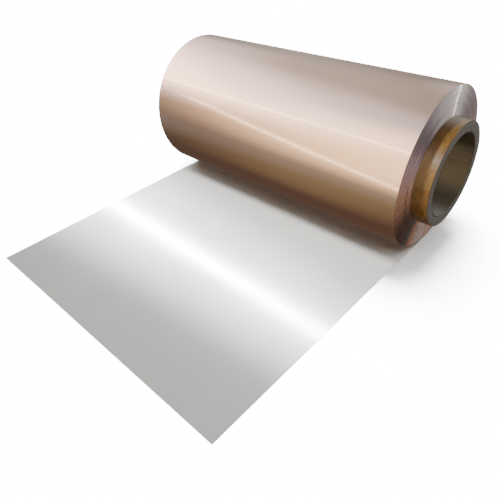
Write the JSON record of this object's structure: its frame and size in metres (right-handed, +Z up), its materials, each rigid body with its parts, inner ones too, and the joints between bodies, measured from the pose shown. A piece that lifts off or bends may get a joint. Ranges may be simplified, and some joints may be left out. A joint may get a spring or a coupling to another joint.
{
  "type": "copper foil roll",
  "caption": "Wide roll of silver-backed copper foil on a thick-walled core, lying on its side with a flat stretch of web unrolled; the roll rolls over the web and winds it in.",
  "frame": {"origin": "middle of the core's bore, one roll radius above the table", "axes": "+X along the roll's axis, -Y towards the free end of the web, +Z up"},
  "size_m": [0.335, 0.3649, 0.1498],
  "materials": {
    "core_liner": "matte",
    "core_board": "matte",
    "core_wrap": "glossy",
    "foil_edges": "satin",
    "copper_face": "polished",
    "silver_face": "satin"
  },
  "bodies": {
    "flat_web": {"web_foil": "copper_face", "web_backing": "silver_face"},
    "outer_lap": {"lap_foil": "copper_face", "lap_backing": "silver_face"},
    "roll": {"core_liner": "core_liner", "core_plies": "core_board", "core_wrap": "core_wrap", "turns_inner": "foil_edges", "turns_middle": "foil_edges", "turns_outer": "foil_edges"}
  },
  "joints": [
    {"name": "roll_travel", "type": "slide", "parent": "flat_web", "child": "outer_lap", "axis": [0, 1, 0], "range_m": [-0.265, 0], "deforming": ["web_foil", "web_backing"]},
    {"name": "roll_turn", "type": "hinge", "parent": "outer_lap", "child": "roll", "pos_m": [0, 0, 0], "axis": [1, 0, 0], "range_deg": [0, 202.5]}
  ],
  "couplings": [
    {"joint": "roll_turn", "follows": "roll_travel", "rad_per_m": -13.333}
  ]
}
